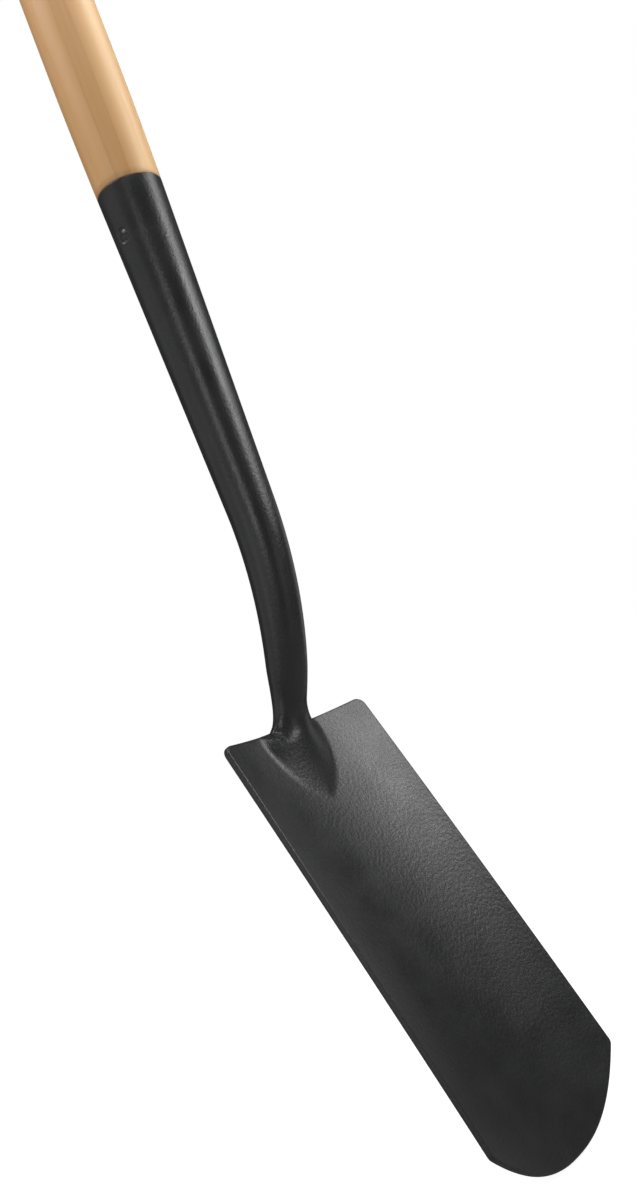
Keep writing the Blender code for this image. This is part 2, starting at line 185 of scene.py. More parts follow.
def frog_height(across, down):
    """The frog's rise above the dish. At the blade's top edge it is only a bell under the neck. Below, the
    crown fills out to the frog's outline, where it eases in over a fillet. The smith set the frog a little
    aside of the neck."""
    half = frog_half_width(down)
    if half <= abs(across - FROG_ASIDE):
        return 0.0
    bell = max(1 - (2 * across / FROG_TOP_WIDTH) ** 2, 0.0) ** FROG_TOP_CURVE
    inward = half - abs(across - FROG_ASIDE)
    fillet = min(mix(FROG_FILLET_TOP, FROG_FILLET_POINT, down / FROG_LENGTH), half)
    eased = inward - fillet / 2 if inward > fillet else inward**2 / (2 * fillet)
    crown_half = half - fillet / 2
    crown = 1 - ridge((crown_half - eased) / crown_half) / ridge(1)
    filled = 1 - (1 - min(down / FROG_SHOULDER_RUN, 1.0)) ** 2
    return FROG_HEIGHT * (1 - down / FROG_LENGTH) ** FROG_FADE * mix(bell, crown, filled)


def tang_height(across, down):
    fade = max(1 - down / TANG_LENGTH, 0.0) ** 2
    crown = max(1 - (across / (TANG_WIDTH / 2)) ** 2, 0.0)
    return TANG_HEIGHT * fade * crown**2


def blade_points(across, down):
    """Front point, back point and the direction through the wall."""
    y, sine, cosine = dish(across, down)
    share = min(down / (BLADE_SIDE_LENGTH + BLADE_NOSE_LENGTH), 1.0)
    wall = mix(BLADE_TOP_THICKNESS, BLADE_TIP_THICKNESS, share)
    through = Vector((sine, cosine, 0))
    front = Vector((across, y - frog_height(across, down), -down))
    back = Vector((across, y, -down)) + wall * through + Vector((0, tang_height(across, down), 0))
    return front, back, through


def front_angles():
    """Angles of the neck's front columns from straight forward. The edge's round takes the gap at each
    side."""
    steps = 2 * FOOT_COLUMNS + 2 * ROUND_STEPS
    reach = 180 * (2 * FOOT_COLUMNS - 1) / steps / 2
    last = 2 * FOOT_COLUMNS - 1
    return [math.radians(mix(-reach, reach, i / last)) for i in range(last + 1)]


def column_plan():
    """Half of the blade's columns, from the middle out."""
    angles = front_angles()
    shares = [("foot", math.sin(angle) / math.sin(angles[-1])) for angle in angles if angle > 0]
    shares += [("flank", (i + 1) / FLANK_COLUMNS) for i in range(FLANK_COLUMNS)]
    shares += [("wing", (i + 1) / WING_COLUMNS) for i in range(WING_COLUMNS)]
    shares += [("corner", (i + 1) / CORNER_COLUMNS) for i in range(CORNER_COLUMNS)]
    return shares


def column_across(kind, share, down):
    reopened = smooth((down - FROG_LENGTH) / COLUMNS_REOPEN_RUN)
    closed_edge = mix(COLUMNS_CLOSED_HALF, FROG_WIDTH / 2, reopened)
    frog_edge = max(frog_half_width(down) - FROG_ASIDE, closed_edge)
    foot_edge = frog_edge * NECK_FOOT_WIDTH / (FROG_WIDTH - 2 * FROG_ASIDE)
    wing_edge = half_width(down) - TOP_CORNER_RADIUS
    if kind == "foot":
        return foot_edge * share
    if kind == "flank":
        return mix(foot_edge, frog_edge, share)
    if kind == "wing":
        return mix(frog_edge, wing_edge, share)
    return wing_edge + (TOP_CORNER_RADIUS - EDGE_ROUND) * math.sin(math.radians(90 * share))


def column_start(kind, share):
    """How far down a column starts, which leaves room for the rounded edge but not under the neck."""
    if kind == "foot":
        return EDGE_ROUND * share**FOOT_START_CURVE
    if kind == "corner":
        return TOP_CORNER_RADIUS - (TOP_CORNER_RADIUS - EDGE_ROUND) * math.cos(math.radians(90 * share))
    return EDGE_ROUND


def nose_down(across):
    """How far down a column ends, short of the nose's curve and its round shoulders by the rounded edge."""
    half = BLADE_SHOULDER_WIDTH / 2 - EDGE_ROUND
    radius = SHOULDER_RADIUS - EDGE_ROUND
    turn = math.pi / 2 - math.atan(BLADE_NOSE_LENGTH * NOSE_FULLNESS / half)
    centre_across = half - radius
    if across > centre_across + radius * math.cos(turn):
        centre_down = BLADE_SIDE_LENGTH - radius * math.tan(turn / 2)
        return centre_down + math.sqrt(max(radius**2 - (across - centre_across) ** 2, 0.0))
    nose = BLADE_NOSE_LENGTH - EDGE_ROUND
    return BLADE_SIDE_LENGTH + nose * (1 - (across / half) ** NOSE_FULLNESS)


def row_plan():
    frog_end = FROG_LENGTH + ROWS_PAST_FROG
    nose_start = BLADE_SIDE_LENGTH - NOSE_ROWS_RUN
    rows = [(frog_end * i / FROG_ROWS, 0.0) for i in range(FROG_ROWS + 1)]
    for i in range(1, BODY_ROWS + 1):
        rows.append((mix(frog_end, nose_start, (i / BODY_ROWS) ** ROW_DRAW), 0.0))
    for i in range(1, NOSE_ROWS + 1):
        rows.append((nose_start, math.sin(math.radians(90 * i / NOSE_ROWS))))
    return rows


def bend_length():
    return BEND_RADIUS * math.radians(NECK_LIFT - SOCKET_LIFT)


def socket_end():
    return NECK_LENGTH + bend_length() + SOCKET_LENGTH


def neck_line(along):
    """Centre point of the neck and socket, and their lift: straight, bent back, then straight again."""
    lift = math.radians(NECK_LIFT)
    straight = min(along, NECK_LENGTH)
    centre = Vector((0, -NECK_FORWARD - math.sin(lift) * straight, math.cos(lift) * straight))
    if along > NECK_LENGTH:
        bent = min(along - NECK_LENGTH, bend_length())
        now = lift - bent / BEND_RADIUS
        centre.y += BEND_RADIUS * (math.cos(lift) - math.cos(now))
        centre.z += BEND_RADIUS * (math.sin(lift) - math.sin(now))
        lift = now
    if along > NECK_LENGTH + bend_length():
        rest = along - NECK_LENGTH - bend_length()
        centre.y -= math.sin(lift) * rest
        centre.z += math.cos(lift) * rest
    return centre, lift


def neck_radius(along):
    """Outer radius: pinched just above the blade, then a taper that runs smoothly through its stations."""
    stations = [
        (0.0, NECK_FOOT_DIAMETER),
        (NECK_NARROWEST_AT, NECK_DIAMETER),
        (NECK_LENGTH, BEND_START_DIAMETER),
        (NECK_LENGTH + bend_length(), BEND_END_DIAMETER),
        (socket_end(), SOCKET_MOUTH_DIAMETER),
    ]
    slopes = []
    for i in range(len(stations)):
        before = stations[max(i - 1, 0)]
        after = stations[min(i + 1, len(stations) - 1)]
        slopes.append((after[1] - before[1]) / (after[0] - before[0]))
    narrowest = 1
    slopes[narrowest] = 0.0
    for i in range(len(stations) - 1):
        (low, start), (high, end) = stations[i], stations[i + 1]
        if along <= high:
            break
    run = high - low
    t = min(max((along - low) / run, 0.0), 1.0)
    diameter = mix(start, end, smooth(t))
    diameter += run * slopes[i] * t * (1 - t) ** 2
    diameter -= run * slopes[i + 1] * t * t * (1 - t)
    return diameter / 2


def ring_angles():
    """All angles of a neck ring: front left to right, the right side, back right to left, the left side."""
    front = front_angles()
    side_steps = 2 * ROUND_STEPS
    gap = math.pi - 2 * front[-1]
    side = [front[-1] + gap * (i + 1) / (side_steps + 1) for i in range(side_steps)]
    back = [math.pi + angle for angle in front]
    return front + side + back + [math.pi + angle for angle in side]


def neck_ring(along, radius, lift):
    centre, _ = neck_line(along)
    forward = Vector((0, -math.cos(lift), -math.sin(lift)))
    sideways = Vector((1, 0, 0))
    return [centre + radius * (math.sin(a) * sideways + math.cos(a) * forward) for a in ring_angles()]


def bore_depth():
    return SOCKET_LENGTH - SOLID_BELOW_BORE


def bore_radius(depth):
    mouth = SOCKET_MOUTH_DIAMETER / 2 - SOCKET_MOUTH_WALL
    end = neck_radius(socket_end() - bore_depth()) - SOCKET_END_WALL
    return mix(mouth, end, depth / bore_depth())


def socket_stations():
    """Where rings lie between the neck's foot and the lip: close together round the rivet."""
    rivet = socket_end() - RIVET_BELOW_LIP
    below = rivet - RIVET_RINGS_REACH
    above = rivet + RIVET_RINGS_REACH
    stretches = [
        (NECK_ROUNDS_BY, below, RING_SPACING),
        (below, above, RIVET_RING_SPACING),
        (above, socket_end() - LIP_ROUND, RING_SPACING),
    ]
    stations = []
    for low, high, spacing in stretches:
        count = math.ceil((high - low) / spacing)
        stations += [mix(low, high, (i + 1) / count) for i in range(count)]
    return stations


def grind_flats(point):
    """Moves a point of the socket's skin onto the flat that is ground round either end of the rivet."""
    along = socket_end() - RIVET_BELOW_LIP
    offset = point - neck_line(along)[0]
    offset.x = 0
    over = max(abs(point.x) - neck_radius(along) + RIVET_FLAT_DEPTH, 0.0)
    eased = smooth((RIVET_FLAT_RADIUS - offset.length) / RIVET_FLAT_RUN_OUT)
    return point - Vector((math.copysign(over * eased, point.x), 0, 0))


def neck_rings(foot):
    """Every ring above the foot: the neck, the socket, over the lip and down the bore."""
    level = neck_ring(0.0, neck_radius(0.0), 0.0)
    rings = []
    for i in range(1, FOOT_RINGS + 1):
        share = i / FOOT_RINGS
        along = NECK_ROUNDS_BY * share
        ring = neck_ring(along, neck_radius(along), math.radians(NECK_LIFT) * smooth(share))
        left = (1 - share) ** FOOT_FADE
        rings.append([p + left * (f - r) for p, f, r in zip(ring, foot, level)])
    for along in socket_stations():
        ring = neck_ring(along, neck_radius(along), neck_line(along)[1])
        rings.append([grind_flats(point) for point in ring])
    lip = socket_end()
    lift = math.radians(SOCKET_LIFT)
    for centre_radius, start, end in (
        (neck_radius(lip) - LIP_ROUND, 0, 90),
        (bore_radius(0) + LIP_ROUND, 90, 180),
    ):
        for i in range(ROUND_STEPS + 1):
            angle = math.radians(mix(start, end, i / ROUND_STEPS))
            along = lip - LIP_ROUND * (1 - math.sin(angle))
            rings.append(neck_ring(along, centre_radius + LIP_ROUND * math.cos(angle), lift))
    # The lip's first ring lies on the socket's last one, so it goes.
    del rings[-2 * ROUND_STEPS - 2]
    for i in range(1, BORE_RINGS + 1):
        depth = mix(LIP_ROUND, bore_depth(), i / BORE_RINGS)
        rings.append(neck_ring(lip - depth, bore_radius(depth), lift))
    return rings


def edge_profile(front, back, outward, through):
    """Points that round the blade's edge from its front surface to its back."""
    points = []
    for i in range(1, ROUND_STEPS + 1):
        angle = math.radians(90 * i / ROUND_STEPS)
        points.append(front + EDGE_ROUND * (math.sin(angle) * outward + (1 - math.cos(angle)) * through))
    for i in range(ROUND_STEPS, 0, -1):
        angle = math.radians(90 * i / ROUND_STEPS)
        points.append(back + EDGE_ROUND * (math.sin(angle) * outward - (1 - math.cos(angle)) * through))
    return points


def ease_foot(points, lines):
    """Rounds the fold between frog and neck. Each line of points runs up the frog and on up the neck's
    front. The pull on a point fades from the fold along its line, and towards the outer lines."""
    reach = FOOT_EASED_ROWS - 2
    for number, line in enumerate(lines):
        line = line[: 2 * FOOT_EASED_ROWS]
        inwards = 1 - abs(2 * number / (len(lines) - 1) - 1)
        pull = FOOT_EASE_PULL * smooth(FOOT_EASE_SPREAD * inwards)
        weights = [pull * smooth(1 - abs(k - FOOT_EASED_ROWS) / reach) for k in range(len(line))]
        for _ in range(FOOT_EASE_STEPS):
            placed = [points[k].copy() for k in line]
            for k in range(1, len(line) - 1):
                between = (placed[k - 1] + placed[k + 1]) / 2
                points[line[k]] = placed[k].lerp(between, weights[k])


def head_mesh():
    rows = row_plan()
    half = column_plan()
    columns = [(kind, share, -1) for kind, share in reversed(half)]
    columns += [(kind, share, 1) for kind, share in half]
    points = []
    faces = []

    def add(point):
        points.append(point)
        return len(points) - 1

    # The front and back surfaces, column by column.
    front, back, wall = [], [], []
    for kind, share, side in columns:
        start = column_start(kind, share)
        end = nose_down(column_across(kind, share, BLADE_SIDE_LENGTH))
        column = []
        for level, nose_share in rows:
            down = level
            if level < CORNER_ROWS_RUN:
                down = mix(start, CORNER_ROWS_RUN, level / CORNER_ROWS_RUN)
            down = mix(down, end, nose_share)
            column.append(blade_points(side * column_across(kind, share, down), down))
        front.append([add(p) for p, _, _ in column])
        back.append([add(p) for _, p, _ in column])
        wall.append([through for _, _, through in column])

    last = len(rows) - 1
    for i in range(len(columns) - 1):
        for j in range(last):
            faces.append((front[i][j], front[i][j + 1], front[i + 1][j + 1], front[i + 1][j]))
            faces.append((back[i][j], back[i + 1][j], back[i + 1][j + 1], back[i][j + 1]))

    # The rim runs from the neck's right side over the right wing, round the nose and back to its left side.
    right = len(columns) - 1
    first_foot = sum(kind != "foot" for kind, _ in half)
    last_foot = right - first_foot
    rim = [(i, 0) for i in range(last_foot, right)]
    rim += [(right, j) for j in range(last)]
    rim += [(i, last) for i in range(right, 0, -1)]
    rim += [(0, j) for j in range(last, 0, -1)]
    rim += [(i, 0) for i in range(first_foot + 1)]
    profiles = []
    for k, (i, j) in enumerate(rim):
        before = rim[max(k - 1, 0)]
        after = rim[min(k + 1, len(rim) - 1)]
        ahead = points[front[after[0]][after[1]]] - points[front[before[0]][before[1]]]
        through = wall[i][j]
        outward = ahead.cross(through).normalized()
        on_top_edge = j == 0 and -points[front[i][j]].z <= EDGE_ROUND + 1e-9
        if on_top_edge:
            outward = Vector((0, 0, 1))
        ring = edge_profile(points[front[i][j]], points[back[i][j]], outward, through)
        profiles.append([front[i][j]] + [add(p) for p in ring] + [back[i][j]])
    for one, two in zip(profiles, profiles[1:]):
        for k in range(len(one) - 1):
            faces.append((one[k], two[k], two[k + 1], one[k + 1]))

    # The neck and the socket grow ring by ring from the gap that the rim leaves.
    below = [front[i][0] for i in range(first_foot, last_foot + 1)] + profiles[0][1:-1]
    below += [back[i][0] for i in range(last_foot, first_foot - 1, -1)] + profiles[-1][-2:0:-1]
    lines = [list(reversed(front[i][:FOOT_EASED_ROWS])) for i in range(first_foot, last_foot + 1)]
    for ring in neck_rings([points[k].copy() for k in below]):
        above = [add(p) for p in ring]
        for i in range(len(ring)):
            k = (i + 1) % len(ring)
            faces.append((below[i], below[k], above[k], above[i]))
        for line, k in zip(lines, above):
            line.append(k)
        below = above
    ease_foot(points, lines)
    tip = add(neck_line(socket_end() - bore_depth() - BORE_END_CONE)[0])
    for i in range(len(below)):
        faces.append((below[i], below[(i + 1) % len(below)], tip))

    mesh = bpy.data.meshes.new("head")
    mesh.from_pydata(points, [], faces)
    return mesh


lean = Matrix.Rotation(-math.radians(SOCKET_LIFT), 4, "X")
lip = lean @ neck_line(socket_end())[0]
blade_frame = Matrix.Translation((0, -lip.y, LIP_HEIGHT - lip.z)) @ lean

mesh = head_mesh()
mesh.transform(blade_frame)
mesh.shade_smooth()
head = bpy.data.objects.new("forged_head", mesh)
bpy.context.scene.collection.objects.link(head)


def add_node(tree, kind, inputs, **settings):
    """A node with its settings, each input either joined to another node's output or set to a value."""
    node = tree.nodes.new(kind)
    for name, value in settings.items():
        setattr(node, name, value)
    for key, value in inputs.items():
        if isinstance(value, bpy.types.NodeSocket):
            tree.links.new(value, node.inputs[key])
        else:
            node.inputs[key].default_value = value
    return node


def add_ramp(tree, share, *stops):
    """A colour ramp over two or more stops of (place, colour), driven by a share."""
    ramp = add_node(tree, "ShaderNodeValToRGB", {"Fac": share})
    for element, (place, colour) in zip(ramp.color_ramp.elements, stops):
        element.position = place
        element.color = (*colour, 1)
    for place, colour in stops[2:]:
        ramp.color_ramp.elements.new(place).color = (*colour, 1)
    return ramp.outputs["Color"]


def add_range(tree, value, low, high, start, end):
    """Maps a value from low and high to start and end, and holds it there beyond them."""
    mapped = add_node(
        tree, "ShaderNodeMapRange",
        {"Value": value, "From Min": low, "From Max": high, "To Min": start, "To Max": end})
    return mapped.outputs["Result"]


def add_noise(tree, place, scale, detail):
    noise = add_node(tree, "ShaderNodeTexNoise", {"Vector": place, "Scale": scale, "Detail": detail})
    return noise.outputs["Fac"]


def powder_coat(name, peel, grit):
    """Black powder coat: an uneven melt, with orange peel and a fine grit by their depths in metres."""
    material = bpy.data.materials.new(name)
    material.use_nodes = True
    tree = material.node_tree
    shader = tree.nodes["Principled BSDF"]
    place = tree.nodes.new("ShaderNodeTexCoord").outputs["Object"]
    melt = add_noise(tree, place, MELT_SCALE, 3.0)
    cells = add_noise(tree, place, PEEL_SCALE, 2.0)
    dust = add_noise(tree, place, GRIT_SCALE, 1.0)
    colour = add_ramp(tree, melt, (0.30, COAT_DARK), (0.70, COAT_LIGHT))
    tree.links.new(colour, shader.inputs["Base Color"])
    rough = add_range(tree, melt, 0.3, 0.7, COAT_SMOOTHEST, COAT_ROUGHEST)
    tree.links.new(rough, shader.inputs["Roughness"])
    fine = add_node(tree, "ShaderNodeBump", {"Height": dust, "Distance": grit})
    bump = add_node(
        tree, "ShaderNodeBump", {"Height": cells, "Distance": peel, "Normal": fine.outputs["Normal"]})
    tree.links.new(bump.outputs["Normal"], shader.inputs["Normal"])
    return material


mesh.materials.append(powder_coat("black_powder_coat", PEEL_DEPTH, HEAD_GRIT_DEPTH))
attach(head, "root")
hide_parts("head")


# The shaft is one straight ash shaft, turned or planed round from split straight-grained stock. Its tapered
# tenon is driven home in the socket, it swells a little above the lip and ends in a rounded butt. It has
# been sanded and given a thin satin varnish, which leaves the open grain to be felt.

SHAFT_SHOWN_LENGTH = 0.8400
SHAFT_SWELL = 0.0012
SHAFT_SWELL_RUN = 0.0850
SHAFT_BUTT_DIAMETER = 0.0360
BUTT_ROUND = 0.0100
TENON_END_GAP = 0.0070
TENON_CHAMFER = 0.0030
FIT_GAP = 0.0003
SHAFT_SIDES = 112
SWELL_RINGS = 20
LONG_RINGS = 60
BUTT_RINGS = 14

# The wood's rings, streaks, pores and colours, with painted light that makes it paler on its right front. A
# smaller draw makes longer streaks and pores.
PITH_PLACE = (0.0520, 0.0468, 0.0)
RING_WIDTH = 0.005378
RING_WANDER = 0.0001
WANDER_SCALE = (9.0, 9.0, 1.1)
RING_LINE_SHARE = 0.06
EARLY_WOOD_SHARE = 0.55
EARLY_WOOD_STRENGTH = 0.72
STREAK_SCALE = 420.0
TONE_SCALE = 70.0
STREAK_DRAW = 0.022
PORE_SCALE = 1900.0
PORE_DRAW = 0.060
PORE_DEPTH = 0.00006
VARNISH_SMOOTHEST = 0.36
VARNISH_ROUGHEST = 0.50
# Painted light: the side, the reach and the paler colour with which the lamps' light on the wood's right
# front is painted in.
PAINTED_LIGHT_SIDE = (0.342, -0.940, 0.0)
PAINTED_LIGHT_FROM = 0.0125
PAINTED_LIGHT_BY = 0.0190
ASH_DARK = (0.610, 0.335, 0.140)
ASH_LIGHT = (0.690, 0.400, 0.180)
ASH_PAINTED_LIGHT = (0.790, 0.500, 0.240)
GRAIN_NONE = (1.0, 1.0, 1.0)
GRAIN_THIN = (0.96, 0.93, 0.83)
GRAIN_FULL = (0.86, 0.79, 0.66)


def shaft_radius(up):
    flush = SOCKET_MOUTH_DIAMETER / 2
    full = flush + SHAFT_SWELL
    if up < SHAFT_SWELL_RUN:
        return mix(flush, full, math.sin(math.radians(90 * up / SHAFT_SWELL_RUN)))
    share = (up - SHAFT_SWELL_RUN) / (SHAFT_SHOWN_LENGTH - SHAFT_SWELL_RUN)
    return mix(full, SHAFT_BUTT_DIAMETER / 2, smooth(share))


def shaft_template():
    """The turning template as (radius, height above the lip) from the tenon's end to the butt."""
    tenon = bore_depth() - TENON_END_GAP
    chamfer = tenon - TENON_CHAMFER
    template = [
        (bore_radius(tenon) - FIT_GAP - TENON_CHAMFER / 2, -tenon),
        (bore_radius(chamfer) - FIT_GAP, -chamfer),
        (bore_radius(-FIT_GAP) - FIT_GAP, FIT_GAP),
        (shaft_radius(FIT_GAP) - LIP_ROUND, FIT_GAP),
    ]
    for i in range(SWELL_RINGS):
        up = mix(FIT_GAP + LIP_ROUND, SHAFT_SWELL_RUN, i / SWELL_RINGS)
        template.append((shaft_radius(up), up))
    round_start = SHAFT_SHOWN_LENGTH - BUTT_ROUND
    for i in range(LONG_RINGS):
        up = mix(SHAFT_SWELL_RUN, round_start, i / LONG_RINGS)
        template.append((shaft_radius(up), up))
    for i in range(BUTT_RINGS + 1):
        angle = math.radians(90 * i / BUTT_RINGS)
        across = SHAFT_BUTT_DIAMETER / 2 - BUTT_ROUND * (1 - math.cos(angle))
        template.append((across, round_start + BUTT_ROUND * math.sin(angle)))
    return template


def add_math(tree, operation, *values):
    """The result of a calculation with one or two values."""
    node = add_node(tree, "ShaderNodeMath", dict(enumerate(values)), operation=operation)
    return node.outputs["Value"]


def lathe_tree():
    """Turns a template drawn in X and Z about Z: each template point becomes a ring as wide as its X."""
    tree = bpy.data.node_groups.new("lathe", "GeometryNodeTree")
    tree.interface.new_socket("Template", in_out="INPUT", socket_type="NodeSocketGeometry")
    tree.interface.new_socket("Sides", in_out="INPUT", socket_type="NodeSocketInt")
    tree.interface.new_socket("Centre height", in_out="INPUT", socket_type="NodeSocketFloat")
    tree.interface.new_socket("Finish", in_out="INPUT", socket_type="NodeSocketMaterial")
    tree.interface.new_socket("Turned piece", in_out="OUTPUT", socket_type="NodeSocketGeometry")
    given = tree.nodes.new("NodeGroupInput").outputs
    wire = add_node(tree, "GeometryNodeMeshToCurve", {"Mesh": given["Template"]})
    place = tree.nodes.new("GeometryNodeInputPosition")
    parts = add_node(tree, "ShaderNodeSeparateXYZ", {"Vector": place.outputs["Position"]})
    radius = add_node(
        tree, "GeometryNodeCaptureAttribute", {"Geometry": wire.outputs["Curve"]}, domain="POINT")
    radius.capture_items.new("FLOAT", "Radius")
    tree.links.new(parts.outputs["X"], radius.inputs["Radius"])
    height = add_math(tree, "ADD", parts.outputs["Z"], given["Centre height"])
    centre = add_node(tree, "ShaderNodeCombineXYZ", {"Z": height})
    axis = add_node(
        tree, "GeometryNodeSetPosition",
        {"Geometry": radius.outputs["Geometry"], "Position": centre.outputs["Vector"]})
    circle = add_node(
        tree, "GeometryNodeCurvePrimitiveCircle", {"Resolution": given["Sides"], "Radius": 1.0})
    turned = add_node(
        tree, "GeometryNodeCurveToMesh",
        {"Curve": axis.outputs["Geometry"], "Profile Curve": circle.outputs["Curve"],
         "Scale": radius.outputs["Radius"], "Fill Caps": True})
    eased = add_node(
        tree, "GeometryNodeSetShadeSmooth", {"Geometry": turned.outputs["Mesh"], "Shade Smooth": True})
    real = add_node(tree, "GeometryNodeRealizeInstances", {"Geometry": eased.outputs["Geometry"]})
    finished = add_node(
        tree, "GeometryNodeSetMaterial",
        {"Geometry": real.outputs["Geometry"], "Material": given["Finish"]})
    out = tree.nodes.new("NodeGroupOutput")
    tree.links.new(finished.outputs["Geometry"], out.inputs["Turned piece"])
    return tree


def run_tree(name, mesh, tree, values):
    """A plain mesh object made from a mesh by a Geometry Nodes tree with its named inputs set."""
    maker = bpy.data.objects.new(name + "_maker", mesh)
    bpy.context.scene.collection.objects.link(maker)
    modifier = maker.modifiers.new("maker", "NODES")
    modifier.node_group = tree
    for socket in tree.interface.items_tree:
        if socket.name in values:
            modifier[socket.identifier] = values[socket.name]
    bpy.context.view_layer.update()
    made = maker.evaluated_get(bpy.context.evaluated_depsgraph_get())
    result = bpy.data.meshes.new_from_object(made)
    result.name = name
    maker.modifiers.remove(modifier)
    bpy.data.objects.remove(maker)
    piece = bpy.data.objects.new(name, result)
    bpy.context.scene.collection.objects.link(piece)
    return piece


def template_mesh(points):
    mesh = bpy.data.meshes.new("template")
    edges = [(i, i + 1) for i in range(len(points) - 1)]
    mesh.from_pydata([(radius, 0, up) for radius, up in points], edges, [])
    return mesh


def stretch(tree, place, scale):
    return add_node(tree, "ShaderNodeMapping", {"Vector": place, "Scale": scale}).outputs["Vector"]


def ash_wood():
    """Ash under satin varnish: growth rings about a pith behind the shaft, open pores and long streaks, and
    painted light on its right front.
    """
    material = bpy.data.materials.new("satin_ash")
    material.use_nodes = True
    tree = material.node_tree
    shader = tree.nodes["Principled BSDF"]
    place = tree.nodes.new("ShaderNodeTexCoord").outputs["Object"]

    # The rings follow the swell above the lip, which keeps each line at one place across the shaft.
    height = add_node(tree, "ShaderNodeSeparateXYZ", {"Vector": place}).outputs["Z"]
    turn = add_range(tree, height, LIP_HEIGHT, LIP_HEIGHT + SHAFT_SWELL_RUN, 0.0, math.pi / 2)
    swollen = add_math(tree, "SINE", turn)
    widen = add_range(tree, swollen, 0.0, 1.0, 1 + 2 * SHAFT_SWELL / SOCKET_MOUTH_DIAMETER, 1.0)
    even = add_node(tree, "ShaderNodeVectorMath", {0: place, "Scale": widen}, operation="SCALE")

    # The pith lies behind the shaft to its right, so the rings show widest on its left front.
    wander = add_node(
        tree, "ShaderNodeTexNoise",
        {"Vector": stretch(tree, place, WANDER_SCALE), "Scale": 1.0, "Detail": 1.0})
    pushed = add_node(
        tree, "ShaderNodeVectorMath",
        {0: wander.outputs["Color"], 1: (0.5, 0.5, 0.5)}, operation="SUBTRACT")
    bent = add_node(
        tree, "ShaderNodeVectorMath",
        {0: pushed.outputs["Vector"], 1: (RING_WANDER, RING_WANDER, 0.0), 2: even.outputs["Vector"]},
        operation="MULTIPLY_ADD")
    flat = stretch(tree, bent.outputs["Vector"], (1.0, 1.0, 0.0))
    from_pith = add_node(tree, "ShaderNodeVectorMath", {0: flat, 1: PITH_PLACE}, operation="DISTANCE")
    season = add_math(tree, "FRACT", add_math(tree, "DIVIDE", from_pith.outputs["Value"], RING_WIDTH))

    # The streaks are drawn out about forty-five to one along the shaft, the pores about seventeen to one.
    along = stretch(tree, place, (1.0, 1.0, STREAK_DRAW))
    streaks = add_noise(tree, along, STREAK_SCALE, 4.0)
    tone = add_noise(tree, along, TONE_SCALE, 2.0)
    pores = add_noise(tree, stretch(tree, place, (1.0, 1.0, PORE_DRAW)), PORE_SCALE, 1.0)

    # Each year starts with a thin dark line, and its early wood fades over the first half.
    ring_line = add_range(tree, season, 0.0, RING_LINE_SHARE, 1.0, 0.0)
    early_wood = add_range(tree, season, 0.0, EARLY_WOOD_SHARE, EARLY_WOOD_STRENGTH, 0.0)
    band = add_math(tree, "MAXIMUM", early_wood, ring_line)
    broken = add_math(tree, "MULTIPLY", band, streaks)
    grain = add_ramp(tree, broken, (0.10, GRAIN_NONE), (0.36, GRAIN_THIN), (0.54, GRAIN_FULL))

    # Painted light: the wood's colour turns paler towards its right front, where the lamps light it most.
    ground = add_ramp(tree, tone, (0.30, ASH_DARK), (0.70, ASH_LIGHT))
    rightwards = add_node(tree, "ShaderNodeVectorMath", {0: place, 1: PAINTED_LIGHT_SIDE}, operation="DOT_PRODUCT")
    painted_light_share = add_range(tree, rightwards.outputs["Value"], PAINTED_LIGHT_FROM, PAINTED_LIGHT_BY, 0.0, 1.0)
    lit_ground = add_node(
        tree, "ShaderNodeMix", {"Factor": painted_light_share, "A": ground, "B": (*ASH_PAINTED_LIGHT, 1.0)}, data_type="RGBA")
    coloured = add_node(
        tree, "ShaderNodeMix", {"Factor": 1.0, "A": lit_ground.outputs["Result"], "B": grain},
        data_type="RGBA", blend_type="MULTIPLY")
    tree.links.new(coloured.outputs["Result"], shader.inputs["Base Color"])

    sheen = add_range(tree, streaks, 0.3, 0.7, VARNISH_SMOOTHEST, VARNISH_ROUGHEST)
    tree.links.new(sheen, shader.inputs["Roughness"])
    open_pores = add_math(tree, "MULTIPLY", pores, band)
    bump = add_node(tree, "ShaderNodeBump", {"Height": open_pores, "Distance": PORE_DEPTH}, invert=True)
    tree.links.new(bump.outputs["Normal"], shader.inputs["Normal"])
    return material


lathe = lathe_tree()
shaft = run_tree(
    "ash_shaft", template_mesh(shaft_template()), lathe,
    {"Sides": SHAFT_SIDES, "Centre height": LIP_HEIGHT, "Finish": ash_wood()})
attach(shaft, "root")
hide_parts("shaft")


# The rivet is a mild steel pin driven from side to side through socket and tenon, 31 mm below the lip. Both
# ends are spread, ground down to a low crown on the flat round them, and coated together with the head.

RIVET_DIAMETER = 0.0050
RIVET_SPREAD = 0.0009
RIVET_SPREAD_RUN = 0.0016
RIVET_SUNK = 0.0008
RIVET_CROWN = 0.0007
RIVET_CROWN_STEPS = 8
RIVET_TIP_RADIUS = 0.00005
RIVET_SIDES = 48
RIVET_GRIT_DEPTH = 0.00004


def rivet_template():
    """Half of the rivet as (radius, distance from the shaft's axis), and its mirror image."""
    reach = neck_radius(socket_end() - RIVET_BELOW_LIP) - RIVET_SUNK
    spread = RIVET_DIAMETER / 2 + RIVET_SPREAD
    half = [(RIVET_DIAMETER / 2, reach - RIVET_SPREAD_RUN)]
    for i in range(RIVET_CROWN_STEPS + 1):
        share = math.cos(math.radians(90 * i / RIVET_CROWN_STEPS))
        half.append((max(spread * share, RIVET_TIP_RADIUS), reach + RIVET_CROWN * (1 - share**2)))
    return [(radius, -out) for radius, out in reversed(half)] + half


